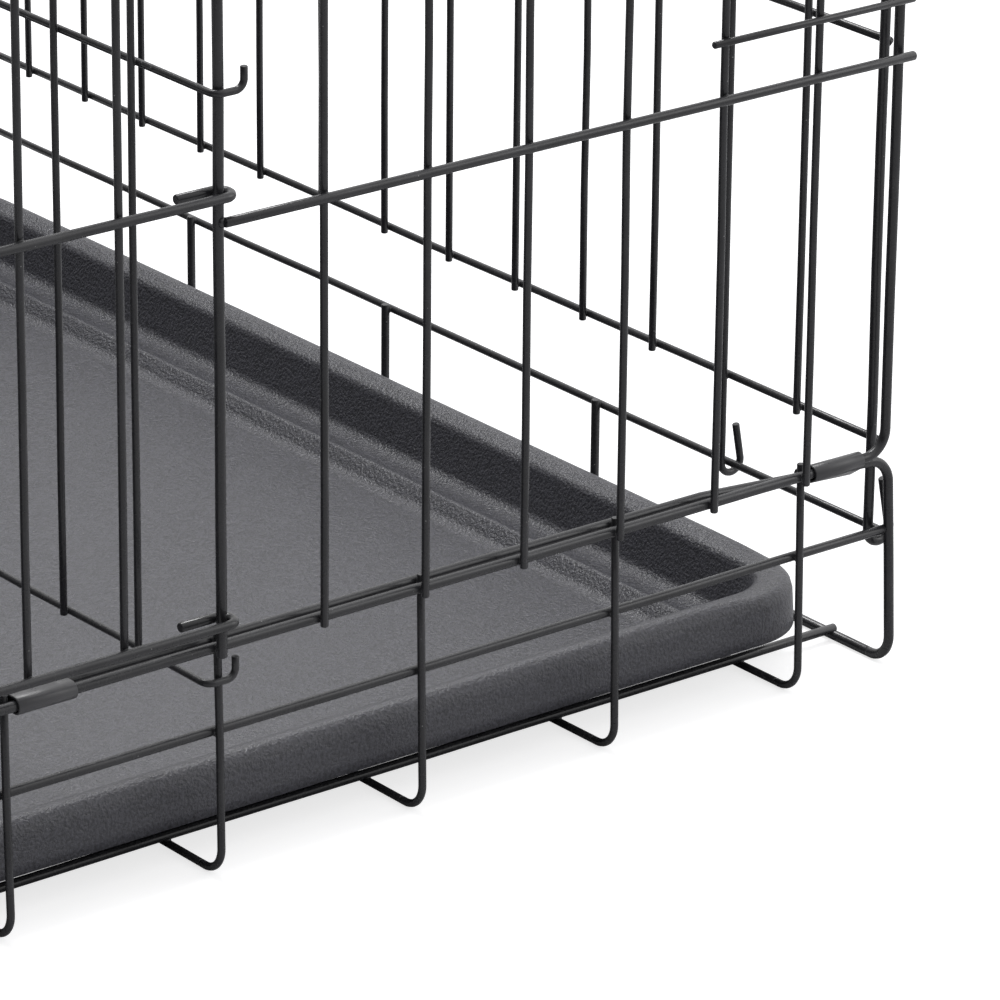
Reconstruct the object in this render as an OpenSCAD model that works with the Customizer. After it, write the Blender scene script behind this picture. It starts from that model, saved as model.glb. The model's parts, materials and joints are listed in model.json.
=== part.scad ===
// Folding wire dog crate: a welded base with a slide-out pan, two side panels, a top,
// two end panels that fold inwards, two hinged doors with slide bolts, and a divider.
// X runs along the crate with the front door at -X, Y across it with the side door at -Y,
// Z up. The origin is on the floor under the centre.

/* [Crate] */
// Length between the corner wires of a side panel
crate_len = 758; // [632:1:910]
// Width between the bar planes of the two side panels
crate_w = 516; // [430:1:620]
// Height over the rails of the top panel
crate_h = 533; // [445:1:640]
// Height of the wire pair where the side panels are clipped to the base
base_rise = 72.8; // [61:0.1:88]

/* [Wire] */
// Diameter of the thin upright bars
bar_d = 2.4; // [2:0.1:2.9]
// Diameter of the long rails on the side panels and doors
rail_d = 2.9; // [2.4:0.1:3.3]
// Diameter of the rails on the end panels and of the base end wires
end_rail_d = 2.5; // [2.2:0.1:3]
// Diameter of the outer frame wires
frame_d = 3.2; // [2.8:0.1:3.8]
// Diameter of the divider wires and of the short corner rungs
light_d = 2.2; // [1.9:0.1:2.6]
// How far two welded wires sink into each other
weld_sink = 0.35; // [0.25:0.05:0.45]
// Running gap between wires that turn on each other
hook_gap = 0.4; // [0.3:0.05:0.6]
// Centre-line radius of the frame corners
corner_r = 8; // [6:0.5:10]
// Centre-line radius of the feet of the base wires
foot_r = 8; // [6:0.5:10]
// How far a bar runs on past the wire it is welded to
bar_over = 2; // [1.5:0.1:2.4]

/* [Side panels] */
// Bar gaps along a side panel
side_gaps = 21; // [19:1:25]
// Gaps from the back corner to the side door's hinge wire
door_start = 7; // [5:2:7]
// Gaps across the side door opening
door_gaps = 9; // [7:1:10]
// Height of the lowest rail above the panel's bottom wire
first_rail = 127.2; // [106:0.1:140]
// Height of the door head below the panel's top wire
head_drop = 58; // [48:1:70]
// Height of the first corner rung above the lowest rail
rung_rise = 17.6; // [15:0.1:21]
// Height between corner rungs
rung_step = 15; // [12.5:0.1:18]
// Number of corner rungs
rung_count = 5; // [3:1:5]

/* [End panels] */
// Bar gaps across an end panel
end_gaps = 14; // [12:1:16]
// Gaps from the panel's edge to the front door opening
front_start = 3; // [2:1:4]
// Distance from the side panel's bar plane in to the end panel's edge wire
end_inset = 12.4; // [12.2:0.1:14]
// Height of the end panel's top wire below the top panel's wire
end_drop = 6; // [5:0.5:8]
// Height of the base wire that the end panels hinge on
end_wire_z = 43.3; // [40:0.1:48]
// Which bar, counted from each edge, also runs down to the hinge wire
hinge_bar = 2; // [2:1:3]

/* [Doors] */
// Rise of a door's bottom rail above the panel's bottom wire
door_rise = 8.8; // [8:0.1:10]
// Distance from the hinge wire to the first door bar
door_edge = 34; // [30:1:38]
// Length of the leg that returns behind the hinge wire
loop_tail = 12; // [8:0.5:14]
// How far the door rails overlap the latch wire
door_lap = 6; // [4:0.5:8]
// Number of bars in the side door
side_door_bars = 9; // [7:1:10]
// Number of bars in the front door
front_door_bars = 8; // [6:1:9]

/* [Slide bolts] */
// Diameter of the bolt wire
bolt_d = 4; // [3.4:0.1:4.6]
// Length of the bolt's straight part
bolt_len = 104; // [95:1:120]
// Drop of the bolt's finger pull
pull_drop = 24; // [20:1:28]
// Length of the finger pull's return
pull_len = 22; // [18:1:26]
// Distance of the retracted tip from the latch wire
tip_gap = 10; // [8:0.5:12]
// Running gap round the bolt
bolt_gap = 0.3; // [0.2:0.05:0.4]
// Wire diameter of the guides and keepers
guide_d = 2.2; // [2:0.1:2.3]

/* [Base] */
// Height of the base's long middle wire
side_wire_z = 45; // [41:0.1:49]
// How far the uprights lean out between the clipped wire and the floor
foot_splay = 1.5; // [0:0.1:2.5]
// Spacing of the long floor wires about the middle
floor_wire_gap = 112; // [94:1:130]
// Distance from the bar plane in to the outermost floor wire
floor_wire_inset = 30; // [27:1:36]

/* [Clips] */
// Thickness of the clip's sheet steel
clip_t = 0.7; // [0.5:0.1:0.8]
// Length of a clip along the wires
clip_len = 19.5; // [16:0.5:24]
// Bar gaps between clips
clip_step = 8; // [7:1:9]

/* [Pan] */
// Gap between the side panel's bar plane and the pan's edge
pan_side_gap = 15; // [13:0.5:20]
// Gap between the corner wire and the pan's end
pan_end_gap = 15; // [13:0.5:20]
// Height of the pan's rim above its underside
pan_h = 25; // [21:0.5:30]
// Thickness of the pan's plastic
pan_t = 2; // [1.6:0.1:2.4]
// Height of the pan's outer skirt
skirt_h = 16; // [13:0.5:18]
// Width of the pan's rim, outer edge to inner edge
pan_rim = 13; // [11:0.5:15.5]
// Outer corner radius of the pan
pan_r = 26; // [22:1:31]

/* [Divider] */
// Height of the divider's bottom rail
divider_low = 62; // [61:0.1:64]
// Height of the divider's top edge below the crate's top
divider_drop = 42; // [35:1:50]
// Number of divider bars
divider_bars = 13; // [11:1:15]
// Length of the turned-up tip of a divider hook
hook_tip = 6.5; // [5:0.1:7]

/* [Hidden] */
$fn = 40;
bar_r = bar_d / 2;
rail_r = rail_d / 2;
end_rail_r = end_rail_d / 2;
frame_r = frame_d / 2;
light_r = light_d / 2;
bolt_r = bolt_d / 2;
guide_r = guide_d / 2;
// A bend is drawn this much thinner than its straights, which run on into it by bend_lap
bend_slack = 0.01;
bend_lap = 0.1;
min_bend = 3;

half_len = crate_len / 2;
half_w = crate_w / 2;
side_pitch = crate_len / side_gaps;
top_z = crate_h - rail_d - bar_d - frame_r + 2 * weld_sink;

// Depths are measured inwards from the plane of a panel's bars
frame_depth = frame_r + bar_r - weld_sink;
rail_depth = -(rail_r + bar_r - weld_sink);
post_depth = bar_r - frame_r + 0.05;
foot_depth = frame_depth + frame_r + 0.2 + bar_r;
base_depth = foot_depth + bar_r + frame_r - weld_sink;
foot_low = foot_depth - foot_splay;
side_wire_depth = foot_low + foot_splay * side_wire_z / base_rise + bar_r + rail_r - weld_sink;
post_low = foot_low + 0.3;

// End panels hang on the base end wires by hooks of these radii
edge_hook_r = end_rail_r + hook_gap + frame_r;
bar_hook_r = end_rail_r + hook_gap + bar_r;
end_x = half_len + edge_hook_r + 0.7;
end_bar_x = end_x - bar_hook_r;
end_half = half_w - end_inset;
end_pitch = 2 * end_half / end_gaps;
end_top_z = top_z - end_drop;
end_edge_depth = edge_hook_r - bar_hook_r;
end_rail_depth = -(end_rail_r + bar_r - weld_sink);
edge_tail = 5;
bar_tail = 9;

rail_zs = [for (k = [0:2]) base_rise + first_rail + k * (top_z - base_rise - first_rail) / 3];
head_z = top_z - head_drop;
front_gaps = end_gaps - 2 * front_start;

// Doors turn on a frame wire, their rails looping round it
door_hook_r = frame_r + hook_gap + rail_r;
door_rail_depth = post_depth - door_hook_r;
door_bar_depth = door_rail_depth + bar_r + rail_r - weld_sink;
door_zs = [base_rise + door_rise, rail_zs[0] + 7.7, rail_zs[1] + 7.7, head_z - door_rise];
bolt_depth = door_rail_depth - rail_r - hook_gap - bolt_r;
bolt_zs = [(door_zs[0] + door_zs[1]) / 2 + pull_drop / 3, (door_zs[2] + door_zs[3]) / 2 + pull_drop / 3];
guide_bend_r = bolt_r + bolt_gap + guide_r;
pull_r = 5;

pan_floor_z = bar_d + rail_d - weld_sink + 0.2;
pan_top_z = pan_floor_z + pan_h;
floor_wire_z = bar_d + rail_r - weld_sink;
floor_ys = [for (k = [-1:1]) k * floor_wire_gap];
floor_edge_y = half_w - floor_wire_inset;
stub_x = end_x - end_rail_r - rail_r + weld_sink;
floor_joint = foot_low + foot_r + 2;
feet = [for (i = [1:2:side_gaps - 2]) i];
clips = [for (i = [1:clip_step:side_gaps - 2]) i];

stop_zs = [(rail_zs[1] + rail_zs[2]) / 2, (rail_zs[2] + top_z) / 2];
stop_x = half_len + 4.5;
divider_x = half_len - door_start * side_pitch;
divider_zs = [divider_low, base_rise + 164.7, top_z - divider_drop - 120, top_z - divider_drop];

wire_black = [0.17, 0.17, 0.18];
bolt_black = [0.13, 0.13, 0.14];
clip_black = [0.2, 0.2, 0.21];
pan_grey = [0.27, 0.27, 0.28];

// ---- wire forms ----

function unit(v) = v / norm(v);
function turn(a, b) = acos(max(-1, min(1, a * b)));
function trim_at(p, q, s, br) = br * tan(turn(unit(q - p), unit(s - q)) / 2);
function bar_x(i) = half_len - i * side_pitch;
function end_bar_y(i) = -end_half + i * end_pitch;

// Straight wire from p to q
module rod(p, q, r) {
  v = q - p;
  translate(p) rotate([0, acos(v[2] / norm(v)), atan2(v[1], v[0])]) cylinder(r = r, h = norm(v));
}

// Round bend at p, between the directions from before and to after
module bend(before, p, after, r, br) {
  a = unit(p - before);
  b = unit(after - p);
  phi = turn(a, b);
  c = p + unit(b - a) * br / cos(phi / 2);
  e = unit(p - a * br * tan(phi / 2) - c);
  w = unit(cross(a, b));
  multmatrix([[e[0], a[0], w[0], c[0]], [e[1], a[1], w[1], c[1]], [e[2], a[2], w[2], c[2]], [0, 0, 0, 1]])
    rotate_extrude(angle = phi) translate([br, 0]) circle(r - bend_slack);
}

// Wire through pts with its inner points rounded to the radius br
module bent_wire(pts, r, br) {
  n = len(pts);
  trims = [for (i = [0:n - 1])
    i == 0 || i == n - 1 ? bend_lap : trim_at(pts[i - 1], pts[i], pts[i + 1], br)];
  for (i = [0:n - 2]) {
    d = unit(pts[i + 1] - pts[i]);
    rod(pts[i] + d * (trims[i] - bend_lap), pts[i + 1] - d * (trims[i + 1] - bend_lap), r);
  }
  for (i = [1:n - 2]) bend(pts[i - 1], pts[i], pts[i + 1], r, br);
}

// Closed wire through pts with every point rounded to the radius br
module wire_ring(pts, r, br) {
  n = len(pts);
  for (i = [0:n - 1]) {
    p = pts[i];
    q = pts[(i + 1) % n];
    s = pts[(i + 2) % n];
    d = unit(q - p);
    before = pts[(i + n - 1) % n];
    rod(p + d * (trim_at(before, p, q, br) - bend_lap), q - d * (trim_at(p, q, s, br) - bend_lap), r);
    bend(p, q, s, r, br);
  }
}

// Half-turn hook about the local Z axis: a lead along -Y at +X, and a tail along -Y at -X
module half_turn(r, br, lead, tail) {
  rotate_extrude(angle = 180) translate([br, 0]) circle(r - bend_slack);
  rod([br, bend_lap, 0], [br, -lead, 0], r);
  rod([-br, bend_lap, 0], [-br, -tail, 0], r);
}

// Puts a wall drawn with x along it, y inwards and z up on each side of the crate
module on_near() { translate([0, -half_w, 0]) children(); }
module on_far() { mirror([0, 1, 0]) on_near() children(); }
module on_front() { translate([-end_bar_x, 0, 0]) rotate([0, 0, -90]) children(); }
module on_back() { translate([end_bar_x, 0, 0]) rotate([0, 0, 90]) children(); }

// ---- base ----

// One foot wire's upright, from its top down round the foot to floor_joint
module foot(x) {
  bent_wire([[x, foot_depth, base_rise + 2.8], [x, foot_low, bar_r], [x, floor_joint, bar_r]], bar_r, foot_r);
}

module base_rail() {
  low = [0, post_low, frame_r];
  high = [0, base_depth, base_rise];
  ends = [0, floor_joint, frame_r];
  bent_wire([[-end_x, 0, 0] + ends, [-end_x, 0, 0] + low, [-end_x, 0, 0] + high,
    [end_x, 0, 0] + high, [end_x, 0, 0] + low, [end_x, 0, 0] + ends], frame_r, corner_r);
  for (i = feet) foot(bar_x(i));
  rod([-end_x, side_wire_depth, side_wire_z], [end_x, side_wire_depth, side_wire_z], rail_r);
}

module base_near_rail() { color(wire_black) on_near() base_rail(); }
module base_far_rail() { color(wire_black) on_far() base_rail(); }

module base_floor_grid() {
  reach = half_w - floor_joint - bend_lap;
  color(wire_black) {
    for (i = feet) rod([bar_x(i), -reach, bar_r], [bar_x(i), reach, bar_r], bar_r);
    for (s = [-1, 1]) rod([s * end_x, -reach, frame_r], [s * end_x, reach, frame_r], frame_r);
    for (y = [-floor_edge_y, floor_edge_y]) rod([-end_x, y, floor_wire_z], [end_x, y, floor_wire_z], rail_r);
    for (y = floor_ys) rod([-end_x, y, floor_wire_z], [stub_x - foot_r, y, floor_wire_z], rail_r);
  }
}

// A base end wire between the corner uprights at the end s
module end_wire(s) {
  reach = half_w - post_low - (base_depth - post_low) * end_wire_z / base_rise;
  rod([s * end_x, -reach, end_wire_z], [s * end_x, reach, end_wire_z], end_rail_r);
}

module base_front_wire() { color(wire_black) end_wire(-1); }

module base_back_wire() {
  color(wire_black) {
    end_wire(1);
    for (y = floor_ys)
      bent_wire([[stub_x - foot_r - bend_lap, y, floor_wire_z], [stub_x, y, floor_wire_z],
        [stub_x, y, end_wire_z + bar_over]], rail_r, foot_r);
  }
}

// ---- side panels and top ----

module side_frame() {
  wire_ring([[-half_len, frame_depth, base_rise], [half_len, frame_depth, base_rise],
    [half_len, frame_depth, top_z], [-half_len, frame_depth, top_z]], frame_r, corner_r);
}

// Upright at gap i from the height low to high
module side_bar(i, low, high, r = bar_r, depth = 0) {
  rod([bar_x(i), depth, low], [bar_x(i), depth, high], r);
}

module far_side_panel() {
  color(wire_black) on_far() {
    side_frame();
    for (i = [1:side_gaps - 1]) side_bar(i, base_rise - bar_over, top_z + bar_over);
    for (z = rail_zs) rod([-half_len - bar_over, rail_depth, z], [half_len + bar_over, rail_depth, z], rail_r);
  }
}

module near_side_panel() {
  door_end = door_start + door_gaps;
  color(wire_black) on_near() {
    side_frame();
    for (i = [1:side_gaps - 1])
      if (i < door_start || i > door_end) side_bar(i, base_rise - bar_over, top_z + bar_over);
    for (i = [door_start + 1:door_end - 1]) side_bar(i, head_z - bar_over, top_z + bar_over);
    for (i = [door_start, door_end]) side_bar(i, base_rise - bar_over, top_z + bar_over, frame_r, post_depth);
    for (z = rail_zs) {
      rod([bar_x(door_start) + 0.5, rail_depth, z], [half_len + bar_over, rail_depth, z], rail_r);
      rod([-half_len - bar_over, rail_depth, z], [bar_x(door_end) - 0.5, rail_depth, z], rail_r);
    }
    rod([bar_x(door_end), frame_depth, head_z], [bar_x(door_start), frame_depth, head_z], frame_r);
  }
}

// Short rungs over the corner wire and the two bars next to it
module corner_rungs() {
  depth = -(light_r + bar_r - weld_sink);
  for (s = [-1, 1], k = [0:rung_count - 1]) {
    z = rail_zs[0] + rung_rise + k * rung_step;
    rod([s * (half_len - 2 * side_pitch - 6), depth, z], [s * (half_len + 1.5), depth, z], light_r);
  }
}

module near_corner_rungs() { color(wire_black) on_near() corner_rungs(); }
module far_corner_rungs() { color(wire_black) on_far() corner_rungs(); }

module top_panel() {
  edge_y = half_w - base_depth;
  bar_z = top_z + frame_r + bar_r - weld_sink;
  rail_z = bar_z + bar_r + rail_r - weld_sink;
  color(wire_black) {
    wire_ring([[-end_x, -edge_y, top_z], [end_x, -edge_y, top_z],
      [end_x, edge_y, top_z], [-end_x, edge_y, top_z]], frame_r, corner_r);
    for (i = [1:side_gaps - 1])
      rod([bar_x(i), -edge_y - frame_r, bar_z], [bar_x(i), edge_y + frame_r, bar_z], bar_r);
    for (y = [-floor_wire_gap, 0, floor_wire_gap])
      rod([-end_x + 20, y, rail_z], [end_x - 20, y, rail_z], rail_r);
  }
}

// ---- end panels ----

// Hook round the base end wire at the place y, on a wire of radius r
module end_hook(y, depth, r, br, tail) {
  translate([y, depth - br, end_wire_z]) rotate([90, 180, 90]) half_turn(r, br, 6, tail);
}

module end_frame() {
  bent_wire([[-end_half, end_edge_depth, end_wire_z], [-end_half, end_edge_depth, end_top_z],
    [end_half, end_edge_depth, end_top_z], [end_half, end_edge_depth, end_wire_z]], frame_r, corner_r);
  for (y = [-end_half, end_half]) end_hook(y, end_edge_depth, frame_r, edge_hook_r, edge_tail);
}

// Upright at gap i of an end panel
module end_bar(i, low, high, r = bar_r, depth = 0) {
  rod([end_bar_y(i), depth, low], [end_bar_y(i), depth, high], r);
}

module end_rail(low_gap, high_gap, z, over_low, over_high) {
  rod([end_bar_y(low_gap) - over_low, end_rail_depth, z], [end_bar_y(high_gap) + over_high, end_rail_depth, z],
    end_rail_r);
}

module back_panel() {
  color(wire_black) on_back() {
    end_frame();
    for (i = [1:end_gaps - 1]) {
      hinged = i == hinge_bar || i == end_gaps - hinge_bar;
      end_bar(i, hinged ? end_wire_z : base_rise - bar_over, end_top_z);
      if (hinged) end_hook(end_bar_y(i), 0, bar_r, bar_hook_r, bar_tail);
    }
    for (z = concat([base_rise], rail_zs)) end_rail(0, end_gaps, z, 0, 0);
  }
}

module front_panel() {
  door_end = end_gaps - front_start;
  color(wire_black) on_front() {
    end_frame();
    for (i = [1:end_gaps - 1]) {
      hinged = i == hinge_bar || i == end_gaps - hinge_bar;
      low = hinged ? end_wire_z : base_rise - bar_over;
      if (i < front_start || i > door_end) end_bar(i, low, end_top_z);
      if (i > front_start && i < door_end) end_bar(i, head_z - bar_over, end_top_z);
      if (hinged) end_hook(end_bar_y(i), 0, bar_r, bar_hook_r, bar_tail);
    }
    for (i = [front_start, door_end]) end_bar(i, base_rise - bar_over, end_top_z, frame_r, post_depth);
    end_rail(0, end_gaps, base_rise, 0, 0);
    for (z = rail_zs) {
      end_rail(0, front_start, z, 0, 0);
      end_rail(door_end, end_gaps, z, 0, 0);
    }
    end_rail(front_start, door_end, head_z, 1, 1);
  }
}

// Stops on the side panels' corner wires that an end panel leans on from inside
module panel_stops(s) {
  color(wire_black) for (t = [-1, 1], z = stop_zs)
    bent_wire([[s * (half_len - 1), t * (half_w - frame_depth), z], [s * stop_x, t * (half_w - frame_depth), z],
      [s * stop_x, t * (half_w - end_inset - 3), z]], light_r, min_bend);
}

module front_panel_stops() { panel_stops(-1); }
module back_panel_stops() { panel_stops(1); }

// ---- doors ----

// Door hung on the wire at hinge_x and closing on the wire at latch_x
module door(hinge_x, latch_x, bars) {
  s = sign(latch_x - hinge_x);
  first = hinge_x + s * door_edge;
  last = latch_x - s * door_edge;
  for (z = door_zs) {
    rod([hinge_x, door_rail_depth, z], [latch_x + s * door_lap, door_rail_depth, z], rail_r);
    translate([hinge_x, post_depth, z]) rotate([0, 0, s * 90]) mirror([s > 0 ? 1 : 0, 0, 0])
      half_turn(rail_r, door_hook_r, 5, loop_tail);
  }
  for (k = [0:bars - 1]) {
    x = first + (last - first) * k / (bars - 1);
    rod([x, door_bar_depth, door_zs[0] - bar_r], [x, door_bar_depth, door_zs[3] + bar_over], bar_r);
  }
}

// Place of the door bar that carries guide k, counted from the latch wire
function guide_x(hinge_x, latch_x, bars, k) = latch_x - sign(latch_x - hinge_x) * (door_edge
  + k * (abs(latch_x - hinge_x) - 2 * door_edge) / (bars - 1));

// Staple that a bolt runs in, welded to an upright at depth root
module staple(x, root, z) {
  translate([x, bolt_depth, z]) rotate([0, 90, 0]) rotate([0, 0, 180])
    half_turn(guide_r, guide_bend_r, root - bolt_depth, root - bolt_depth);
}

module guides(hinge_x, latch_x, bars) {
  for (z = bolt_zs, k = [0, 1]) staple(guide_x(hinge_x, latch_x, bars, k), door_bar_depth, z);
}

module keepers(latch_x) {
  for (z = bolt_zs) staple(latch_x, post_depth - frame_r + guide_r, z);
}

module slide_bolt(hinge_x, latch_x, z) {
  s = sign(hinge_x - latch_x);
  tip = latch_x + s * tip_gap;
  far = tip + s * bolt_len;
  bent_wire([[tip, bolt_depth, z], [far, bolt_depth, z], [far, bolt_depth, z - pull_drop],
    [far - s * pull_len, bolt_depth, z - pull_drop]], bolt_r, pull_r);
}

side_hinge = bar_x(door_start);
side_latch = bar_x(door_start + door_gaps);
front_hinge = end_bar_y(end_gaps - front_start);
front_latch = end_bar_y(front_start);

module side_door() { color(wire_black) on_near() door(side_hinge, side_latch, side_door_bars); }
module side_door_guides() { color(wire_black) on_near() guides(side_hinge, side_latch, side_door_bars); }
module side_door_keepers() { color(wire_black) on_near() keepers(side_latch); }
module side_bolt_lower() { color(bolt_black) on_near() slide_bolt(side_hinge, side_latch, bolt_zs[0]); }
module side_bolt_upper() { color(bolt_black) on_near() slide_bolt(side_hinge, side_latch, bolt_zs[1]); }

module front_door() { color(wire_black) on_front() door(front_hinge, front_latch, front_door_bars); }
module front_door_guides() { color(wire_black) on_front() guides(front_hinge, front_latch, front_door_bars); }
module front_door_keepers() { color(wire_black) on_front() keepers(front_latch); }
module front_bolt_lower() { color(bolt_black) on_front() slide_bolt(front_hinge, front_latch, bolt_zs[0]); }
module front_bolt_upper() { color(bolt_black) on_front() slide_bolt(front_hinge, front_latch, bolt_zs[1]); }

// ---- clips ----

// Sheet-steel sleeves round the two wires that lie side by side at the height z
module sleeves(z) {
  inner = frame_r + 0.1;
  for (i = clips)
    translate([bar_x(i) + bar_r + 0.4, 0, z]) rotate([90, 0, 90]) linear_extrude(height = clip_len)
      difference() {
        capsule(inner + clip_t);
        capsule(inner);
      }
}

// Outline round both clipped wires at the distance r from their centres
module capsule(r) {
  translate([frame_depth, 0]) circle(r);
  translate([base_depth, 0]) circle(r);
  translate([frame_depth, -r]) square([base_depth - frame_depth, 2 * r]);
}

module near_base_clips() { color(clip_black) on_near() sleeves(base_rise); }
module far_base_clips() { color(clip_black) on_far() sleeves(base_rise); }
module near_top_clips() { color(clip_black) on_near() sleeves(top_z); }
module far_top_clips() { color(clip_black) on_far() sleeves(top_z); }

// ---- divider ----

// Rail across the crate whose ends hook round the uprights at the depth post
module divider_rail(z, post, post_r, divider_r) {
  side = divider_x - post_r - 0.3 - divider_r;
  out = half_w - post + post_r + 0.3 + divider_r;
  tip_x = divider_x + post_r + 5;
  bent_wire([[tip_x, -out, z + hook_tip], [tip_x, -out, z], [side, -out, z], [side, out, z],
    [tip_x, out, z], [tip_x, out, z + hook_tip]], divider_r, min_bend);
}

module divider_panel() {
  first_y = half_w - 42;
  depth_x = divider_x - frame_r - 0.3 - light_r - (2 * light_r - weld_sink);
  color(wire_black) {
    divider_rail(divider_zs[0], foot_depth, frame_r, light_r);
    for (k = [1:3]) divider_rail(divider_zs[k], post_depth, frame_r, light_r);
    for (k = [0:divider_bars - 1]) {
      y = -first_y + 2 * first_y * k / (divider_bars - 1);
      rod([depth_x, y, divider_zs[0] - light_r], [depth_x, y, divider_zs[3] + light_r], light_r);
    }
  }
}

// ---- pan ----

// Rectangle with rounded corners, centred
module round_rect(l, w, r) {
  square([l - 2 * r, w], center = true);
  square([l, w - 2 * r], center = true);
  for (x = [-1, 1], y = [-1, 1]) translate([x * (l / 2 - r), y * (w / 2 - r)]) circle(r);
}

// Upright band of the pan's plastic between the heights low and high, inset from the outer edge
module pan_band(inset, low, high) {
  l = 2 * (half_len - pan_end_gap - inset);
  w = 2 * (half_w - pan_side_gap - inset);
  translate([0, 0, low]) linear_extrude(height = high - low) difference() {
    round_rect(l, w, pan_r - inset);
    round_rect(l - 2 * pan_t, w - 2 * pan_t, pan_r - inset - pan_t);
  }
}

// Flat shelf of the pan between two insets at the height z
module pan_shelf(outer, inner, z) {
  l = 2 * (half_len - pan_end_gap);
  w = 2 * (half_w - pan_side_gap);
  translate([0, 0, z]) linear_extrude(height = pan_t) difference() {
    round_rect(l - 2 * outer, w - 2 * outer, pan_r - outer);
    if (inner > 0) round_rect(l - 2 * inner, w - 2 * inner, pan_r - inner);
  }
}

module pan() {
  color(pan_grey) {
    pan_band(0, pan_top_z - skirt_h, pan_top_z - pan_t);
    pan_shelf(0, pan_rim + pan_t, pan_top_z - pan_t);
    pan_band(pan_rim, pan_floor_z + pan_t, pan_top_z - pan_t);
    pan_shelf(pan_rim, 0, pan_floor_z);
  }
}

base_floor_grid();
base_near_rail();
base_far_rail();
base_front_wire();
base_back_wire();
near_side_panel();
far_side_panel();
top_panel();
front_panel();
back_panel();
side_door();
front_door();
divider_panel();
pan();
near_base_clips();
far_base_clips();
near_top_clips();
far_top_clips();
near_corner_rungs();
far_corner_rungs();
front_panel_stops();
back_panel_stops();
side_door_guides();
side_door_keepers();
side_bolt_lower();
side_bolt_upper();
front_door_guides();
front_door_keepers();
front_bolt_lower();
front_bolt_upper();
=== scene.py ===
"""Looks of the wire dog crate: fine welded wires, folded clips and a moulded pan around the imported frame.

Lengths are in millimetres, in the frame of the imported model, and become metres when a mesh is made.
"""
import json
import math

import bpy
import numpy as np
from mathutils import Matrix, Vector


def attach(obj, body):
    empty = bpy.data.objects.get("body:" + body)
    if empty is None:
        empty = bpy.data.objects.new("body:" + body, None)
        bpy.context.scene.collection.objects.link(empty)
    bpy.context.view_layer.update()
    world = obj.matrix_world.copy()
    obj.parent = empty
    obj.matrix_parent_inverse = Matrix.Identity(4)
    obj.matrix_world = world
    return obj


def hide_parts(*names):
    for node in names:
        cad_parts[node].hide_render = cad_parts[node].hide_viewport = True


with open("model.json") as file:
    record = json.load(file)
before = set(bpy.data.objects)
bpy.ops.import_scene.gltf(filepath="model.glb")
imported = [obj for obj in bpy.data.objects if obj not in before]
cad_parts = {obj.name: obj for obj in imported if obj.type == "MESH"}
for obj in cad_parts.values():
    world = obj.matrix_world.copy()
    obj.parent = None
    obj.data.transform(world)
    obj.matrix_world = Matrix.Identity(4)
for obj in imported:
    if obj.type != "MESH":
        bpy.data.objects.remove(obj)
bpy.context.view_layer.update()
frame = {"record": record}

MM = 0.001
rng = np.random.default_rng(7)

# ---- sizes, as in the solids but for those marked fine ----

HALF_LEN = 379.0
RING_HALF = 376.5  # fine
HALF_W = 258.0
BASE_RISE = 72.8
TOP_Z = 526.8

BAR_R = 1.2
RAIL_R = 1.45
END_RAIL_R = 1.25
FRAME_R = 1.6
LIGHT_R = 1.1
BOLT_R = 2.0
GUIDE_R = 1.1
WELD_SINK = 0.35
HOOK_GAP = 0.4
CORNER_R = 8.0
FOOT_R = 8.0
SMALL_BEND = 3.0
BAR_OVER = 2.0

SIDE_GAPS = 21
DOOR_START = 7
DOOR_GAPS = 9
SIDE_PITCH = 2 * HALF_LEN / SIDE_GAPS
RAIL_ZS = [BASE_RISE + 127.2 + k * (TOP_Z - BASE_RISE - 127.2) / 3 for k in range(3)]
HEAD_Z = TOP_Z - 58
RUNG_ZS = [RAIL_ZS[0] + 17.6 + 15 * k for k in range(5)]

FRAME_DEPTH = FRAME_R + BAR_R - WELD_SINK
RAIL_DEPTH = -(RAIL_R + BAR_R - WELD_SINK)
POST_DEPTH = BAR_R - FRAME_R + 0.05
FOOT_DEPTH = FRAME_DEPTH + FRAME_R + 0.2 + BAR_R
BASE_DEPTH = FOOT_DEPTH + BAR_R + FRAME_R - WELD_SINK
FOOT_SPLAY = 1.5
FOOT_LOW = FOOT_DEPTH - FOOT_SPLAY
SIDE_WIRE_Z = 45.0
SIDE_WIRE_DEPTH = FOOT_LOW + FOOT_SPLAY * SIDE_WIRE_Z / BASE_RISE + BAR_R + RAIL_R - WELD_SINK
POST_LOW = FOOT_LOW + 0.3

EDGE_HOOK_R = END_RAIL_R + HOOK_GAP + FRAME_R
BAR_HOOK_R = END_RAIL_R + HOOK_GAP + BAR_R
END_X = HALF_LEN + EDGE_HOOK_R + 0.7
END_BAR_X = END_X - BAR_HOOK_R
END_WIRE_Z = 43.3
END_GAPS = 14
FRONT_START = 3
END_INSET = 12.4
END_HALF = HALF_W - END_INSET
END_PITCH = 2 * END_HALF / END_GAPS
END_TOP_Z = TOP_Z - 6
END_EDGE_DEPTH = EDGE_HOOK_R - BAR_HOOK_R
END_RAIL_DEPTH = -(END_RAIL_R + BAR_R - WELD_SINK)
HINGE_BAR = 2
EDGE_TAIL = 16.0  # fine
EDGE_LEAN = 3.0  # fine
EDGE_TURN_R = 4.3  # fine
BAR_TURN_R = 3.9  # fine
BAR_TAIL = 12.0  # fine
BAR_LEAN = 2.2  # fine

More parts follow.
